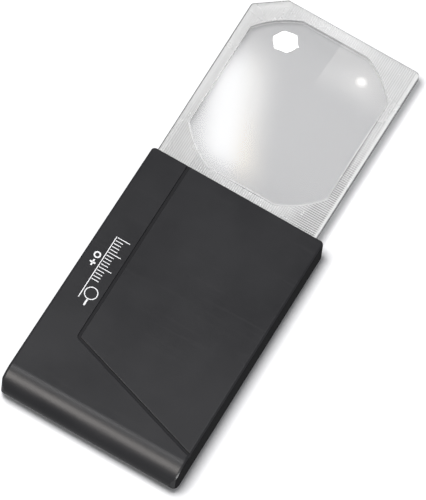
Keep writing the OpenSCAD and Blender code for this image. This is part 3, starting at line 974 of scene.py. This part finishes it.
def plate_finish(height, normal):
    """Number of the finish of one of the plate's faces, in make_plate's order of materials.
    The painted highlight is for the lens's chamfer and the plate's right edge; the plate's other edges take
    a painted dark line, and its upright walls and low faces painted shade."""
    lens, ribbed, underside, painted_highlight_finish, edge, wall = range(6)
    level = abs(normal.z)
    if not PLATE_Z[0] - 0.001 < height < PLATE_Z[1] + 0.001:
        # The lens's chamfer takes the painted highlight.
        return painted_highlight_finish if 0.3 < level < 0.9 else lens
    if level >= (0.98 if height > PLATE_Z[0] + 0.2 else 0.9):
        return ribbed if height > (PLATE_Z[0] + PLATE_Z[1]) / 2 else underside
    # Upright walls and low faces take the painted shade finish.
    if level < 0.2 or height < PLATE_Z[0] + 0.4:
        return wall
    # Painted highlight on the right edge, a painted dark line on the others.
    return painted_highlight_finish if normal.x > 0.2 else edge


# ---- The cell and its spring -----------------------------------------------------------------


def make_cell():
    """The cell: a film sleeve with rolled ends, a flat end, and an end with a raised button."""
    x0, x1 = CELL_X
    core = CELL_R - FILM_ROLL_R
    wrap = [(x0 + 0.5, 4.2), (x0 + 0.42, 4.6)]
    for t in (0.4, 0.8, 1.2, math.pi / 2):
        wrap.append((x0 + 0.42 + FILM_ROLL_R * (1 - math.cos(t)), core + FILM_ROLL_R * math.sin(t)))
    for t in (0, 0.4, 0.8, 1.2):
        wrap.append((x1 - 1.3 + FILM_ROLL_R * math.sin(t), core + FILM_ROLL_R * math.cos(t)))
    wrap += [(x1 - 0.88, 4.5), (x1 - 0.92, 4.1)]
    sleeve = lathe("wrap", wrap, BARREL_Y, BARREL_R, 96)
    finish_piece(sleeve, "cell_wrap_film", cell_wrap, "case", ["battery"], 40)
    flat_end = [
        (x0 + 0.12, 0.01), (x0 + 0.12, 2.4), (x0, 2.6), (x0, 3.8),
        (x0 + 0.06, 4.05), (x0 + 0.2, 4.25), (x0 + 0.6, 4.3),
    ]
    button_end = [
        (x1 - 1.1, 4.4), (x1 - 0.86, 4.3), (x1 - 0.82, 3.9), (x1 - 0.82, 2.5), (x1 - 0.7, 2.1),
        (x1 - 0.15, 1.9), (x1 - 0.04, 1.78), (x1, 1.6), (x1, 0.01),
    ]
    ends = [lathe("end", profile, BARREL_Y, BARREL_R, 72) for profile in (flat_end, button_end)]
    finish_piece(join("ends", ends), "cell_ends", can_steel, "case", (), 35)


def make_spring():
    """A conical coil whose first and last turns lie flat."""
    steps = 40
    sides = 12
    total = int(SPRING_TURNS * steps)
    rings = []
    for i in range(total + 1):
        turn = SPRING_TURNS * i / total
        rise = (turn - SPRING_CLOSED_TURNS) / (SPRING_TURNS - 2 * SPRING_CLOSED_TURNS)
        rise = min(1, max(0, rise))
        x = SPRING_X[0] + (SPRING_X[1] - SPRING_X[0]) * rise
        reach = SPRING_R[0] + (SPRING_R[1] - SPRING_R[0]) * rise
        a = 2 * math.pi * turn
        ring = []
        for k in range(sides):
            b = 2 * math.pi * k / sides
            out = reach + SPRING_WIRE_R * math.cos(b)
            y = BARREL_Y + out * math.cos(a)
            ring.append((x + SPRING_WIRE_R * math.sin(b), y, BARREL_R + out * math.sin(a)))
        rings.append(ring)
    coil = loft("coil", rings)
    finish_piece(coil, "battery_spring_coil", spring_steel, "case", ["battery_spring"], 50)


# ---- The white print -------------------------------------------------------------------------


def printed(outline):
    """A thin flat print on the case's top over an outline."""
    return prism("ink", outline, [(0, sloped(depth)) for depth in INK_DEPTH])


def bar(x0, y0, x1, y1, width):
    """A print stroke between two points."""
    start, end = Vector((x0, y0)), Vector((x1, y1))
    side = (end - start).normalized().orthogonal() * width / 2
    return printed([tuple(start + side), tuple(end + side), tuple(end - side), tuple(start - side)])


def ring_print(centre, radii, steps=40):
    """A printed circle line between an outer and an inner radius."""
    outer, inner = radii
    under, over = INK_DEPTH
    verts = []
    for radius, depth in ((inner, under), (outer, under), (outer, over), (inner, over)):
        circle = arc(centre, radius, 0, 360, steps)[:-1]
        verts += [(x, y, top_z(y) - depth) for x, y in circle]
    faces = []
    for i in range(4):
        j = (i + 1) % 4
        for k in range(steps):
            n = (k + 1) % steps
            faces.append((i * steps + k, i * steps + n, j * steps + n, j * steps + k))
    return new_object("ring", verts, faces)


def make_print():
    """A plain line with a graduated scale on it, a loupe outline, a ring and a plus sign."""
    parts = [bar(SCALE_X, SCALE_Y[0], SCALE_X, SCALE_Y[1], SCALE_W)]
    for k in range(TICK_COUNT):
        y = TICK_FIRST_Y - k * TICK_PITCH
        length = LONG_TICK_L if k % 5 == 0 else TICK_L
        parts.append(bar(TICK_X, y, TICK_X + length, y, TICK_W))
    parts.append(ring_print(LOUPE, LOUPE_R))
    parts.append(bar(LOUPE[0], LOUPE_HANDLE_Y[0], LOUPE[0], LOUPE_HANDLE_Y[1], LOUPE_HANDLE_W))
    parts.append(ring_print(RING, RING_R))
    x, y = PLUS
    parts.append(bar(x, y + PLUS_HALF[1], x, y - PLUS_HALF[1], PLUS_W))
    parts.append(bar(x - PLUS_HALF[0], y, x + PLUS_HALF[0], y, PLUS_W))
    finish_piece(join("print", parts), "print_marks", ink, "case", (), 30)


# ---- Building --------------------------------------------------------------------------------

CASE_PIECES = ("top_shell_body", "face_panel_body", "bottom_shell_body", "battery_door_body", "print_marks")
CAD_FINISH = {
    "slide_carriage": carriage_plastic,
    "carriage_cap": carriage_plastic,
    "carriage_screws": screw_steel,
    "friction_spring": contact_metal,
    "led_board": board_laminate,
    "leds": led_phosphor,
    "led_reflector": reflector_white,
    "driver_chip": chip_epoxy,
    "boost_coil": coil_ferrite,
    "capacitors": capacitor_ceramic,
    "wiper_contacts": contact_metal,
    "positive_strip": contact_metal,
    "negative_strip": contact_metal,
}

make_case()
make_plate()
make_cell()
make_spring()
make_print()
for node, material in CAD_FINISH.items():
    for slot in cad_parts[node].material_slots:
        slot.material = material


# ---- Floor, light and camera -----------------------------------------------------------------


def facing(obj, place, target):
    """Puts obj at place, its -Z towards the target and its X as near to the world's X as it can be."""
    obj.location = place
    back = (Vector(place) - Vector(target)).normalized()
    across = (Vector((1, 0, 0)) - back * back.x).normalized()
    obj.rotation_euler = matrix_from(across, back.cross(across), back).to_euler()


def lamp(name, towards, distance, size, power, diffuse=True, glossy=True, colour=(1, 1, 1)):
    """A soft rectangular lamp in the given direction from the object."""
    data = bpy.data.lights.new(name, "AREA")
    data.shape = "RECTANGLE"
    data.size, data.size_y = size
    data.energy = power
    data.color = colour
    obj = bpy.data.objects.new(name, data)
    bpy.context.scene.collection.objects.link(obj)
    facing(obj, Vector(LAMP_TARGET) + Vector(towards).normalized() * distance, LAMP_TARGET)
    obj.visible_camera = False
    obj.visible_diffuse = diffuse
    obj.visible_glossy = glossy
    obj.visible_transmission = False
    return obj


def light_only(lights, pieces):
    """Makes the lights shine on these pieces and on nothing else."""
    receivers = bpy.data.collections.new("receivers")
    for piece in pieces:
        receivers.objects.link(piece)
    for light in lights:
        light.light_linking.receiver_collection = receivers


def floor_material():
    """Matt white paper."""
    n = Nodes("floor_paper")
    tooth = n.noise(900, 3)
    n.bump(tooth, 0.05, 0.0001)
    return n.set(Base_Color=(0.86, 0.86, 0.87), Roughness=n.span(tooth, 0.85, 0.95), Specular_IOR_Level=0.1)


def make_floor():
    """A round floor that the object stands on."""
    circle = arc((0, 0), FLOOR_R, 0, 360, 40)[:-1]
    floor = new_object("floor", [(x, y, FLOOR_Z) for x, y in circle], [list(range(len(circle)))])
    floor.data.materials.append(floor_material())
    if floor.data.polygons[0].normal.z < 0:
        floor.data.flip_normals()
    floor.visible_glossy = False


def card(name, points, place, target, emission, strength):
    """A glowing panel that only shows in reflections. Its strength is a number, or emission makes
    it from the panel's nodes."""
    panel = new_object(name, [(x, y, 0) for x, y in points], [list(range(len(points)))])
    facing(panel, place, target)
    if panel.data.polygons[0].normal.z > 0:
        panel.data.flip_normals()
    n = Nodes(name)
    n.set(Base_Color=(0.0, 0.0, 0.0), Specular_IOR_Level=0.0, Roughness=1.0)
    n.set(Emission_Color=(1.0, 1.0, 1.0))
    n.set(Emission_Strength=emission(n) if emission else strength)
    panel.data.materials.append(n.material)
    panel.visible_camera = False
    panel.visible_diffuse = False
    panel.visible_transmission = False
    panel.visible_shadow = False
    return panel


def lens_sky(n):
    """Brightness and tint of the big panel, in millimetres on the lens that mirrors it: a soft
    white side with a warm edge, a soft spot and a faint window."""
    side_x, side_y, side_from = -0.936, -0.351, 9.5
    spot_at = (12.1, 19.4)
    warm_white = (1.0, 0.9, 0.72)
    place = n.add("SeparateXYZ")
    n.link(n.place, place.inputs["Vector"])
    x = n.math("DIVIDE", place.outputs["X"], SKY_SPAN * MM)
    y = n.math("DIVIDE", place.outputs["Y"], SKY_SPAN * MM)

    def soft(value, low, high, start, end):
        """Maps a value from start..end to low..high with soft ends."""
        result = n.span(value, low, high, start, end)
        result.node.interpolation_type = "SMOOTHSTEP"
        return result

    side = n.math("ADD", n.math("MULTIPLY", x, side_x), n.math("MULTIPLY", y, side_y))
    side = n.math("SUBTRACT", side, side_from)
    white = n.math("MULTIPLY", soft(side, 0, 10.5, -8.5, 6), soft(y, 1, 0.1, 2, 20))
    white = n.math("MULTIPLY", white, soft(side, 1, 0.4, 8, 16))
    white = n.math("MULTIPLY", white, soft(y, 0.25, 1, -27, -17))
    spot_x = n.math("SUBTRACT", x, spot_at[0])
    spot_y = n.math("SUBTRACT", y, spot_at[1])
    squares = n.math("ADD", n.math("MULTIPLY", spot_x, spot_x), n.math("MULTIPLY", spot_y, spot_y))
    reach = n.math("SQRT", squares, 0)
    spot = n.math("ADD", soft(reach, 12.0, 0, 0.2, 2.2), soft(reach, 2.0, 0, 0.8, 7.5))
    window = n.math("MULTIPLY", soft(x, 0, 2.0, 1.7, 2.1), soft(y, 0, 1, 9, 17))
    warm = n.math("MULTIPLY", soft(side, 1, 0, 0, 6), soft(y, 1, 0.3, -20, 0))
    n.set(Emission_Color=n.mix(warm, (1.0, 1.0, 1.0), warm_white))
    return n.math("ADD", n.math("ADD", white, spot), window)


def make_cards():
    """Panels that show in the lens: one large and graded, one small and six-sided."""
    lens = Vector((LENS_X, LENS_Y, PLATE_Z[1])) * MM
    mirror = Vector((-TO_CAMERA.x, -TO_CAMERA.y, TO_CAMERA.z)).normalized()
    low, high = -SKY_HALF, SKY_HALF
    corners = ((low, low), (high, low), (high, high), (low, high))
    sky = card("lens_sky", corners, lens + mirror * CARD_DISTANCE, lens, lens_sky, 1)
    along = mirror.cross(Vector((1, 0, 0))).normalized()
    sky.rotation_euler = matrix_from(along.cross(mirror), along, mirror).to_euler()
    hexagon = arc((0, 0), HEXAGON_R, 0, 360, 6)[:-1]
    towards = Vector((-0.262, 0.525, 0.82)).normalized()
    before_sky = CARD_DISTANCE * 0.98
    window = card("window", hexagon, lens + towards * before_sky, lens, None, 40.0)
    light_only([sky, window], [bpy.data.objects["lens_plate_body"]])


def make_lights():
    """A main lamp, three that shine on the case only, the lens's panels and a pale world."""
    lamp("key", (-0.12, -0.12, 0.98), distance=0.9, size=(0.27, 0.27), power=8.5, glossy=False)
    barrel_glow = lamp(
        "barrel_glow",
        (-0.149, -0.68, 0.73),
        distance=0.8,
        size=(0.7, 0.40),
        power=8.6,
        diffuse=False,
        colour=(1, 0.95, 0.9),
    )
    overhead = lamp(
        "overhead", (-0.149, 0.015, 0.99), distance=0.8, size=(0.7, 0.10), power=3.2, diffuse=False
    )
    rim_glint = lamp(
        "rim_glint", (0.72, -0.69, 0.035), distance=0.8, size=(0.4, 0.04), power=9.0, diffuse=False
    )
    case_pieces = [bpy.data.objects[name] for name in CASE_PIECES]
    light_only((barrel_glow, overhead, rim_glint), case_pieces)
    make_cards()
    world = bpy.data.worlds.new("studio")
    world.use_nodes = True
    background = world.node_tree.nodes["Background"]
    background.inputs["Color"].default_value = (0.97, 0.98, 1.0, 1)
    background.inputs["Strength"].default_value = 0.35
    bpy.context.scene.world = world
    bpy.context.scene.view_settings.view_transform = "Standard"


def make_camera():
    """Looks down from the lower right of the case; the object lies diagonally in the frame."""
    along = (Vector((0, 1, 0)) - TO_CAMERA * TO_CAMERA.y).normalized()
    across = along.cross(TO_CAMERA)
    right = along * math.cos(CAMERA_ROLL) + across * math.sin(CAMERA_ROLL)
    up = along * math.sin(CAMERA_ROLL) - across * math.cos(CAMERA_ROLL)
    target = Vector((0, MOUTH_Y, MOUTH_T)) * MM - right * AIM_RIGHT - up * AIM_UP
    data = bpy.data.cameras.new("camera")
    data.lens = 1000
    data.clip_start, data.clip_end = 0.1, 20
    camera = bpy.data.objects.new("camera", data)
    bpy.context.scene.collection.objects.link(camera)
    camera.location = target + TO_CAMERA * CAMERA_DISTANCE
    camera.rotation_euler = matrix_from(right, up, TO_CAMERA).to_euler()
    bpy.context.scene.camera = camera


def matrix_from(right, up, back):
    """A rotation from the directions of an object's own X, Y and Z."""
    return Matrix((right, up, back)).transposed()


make_floor()
make_lights()
make_camera()
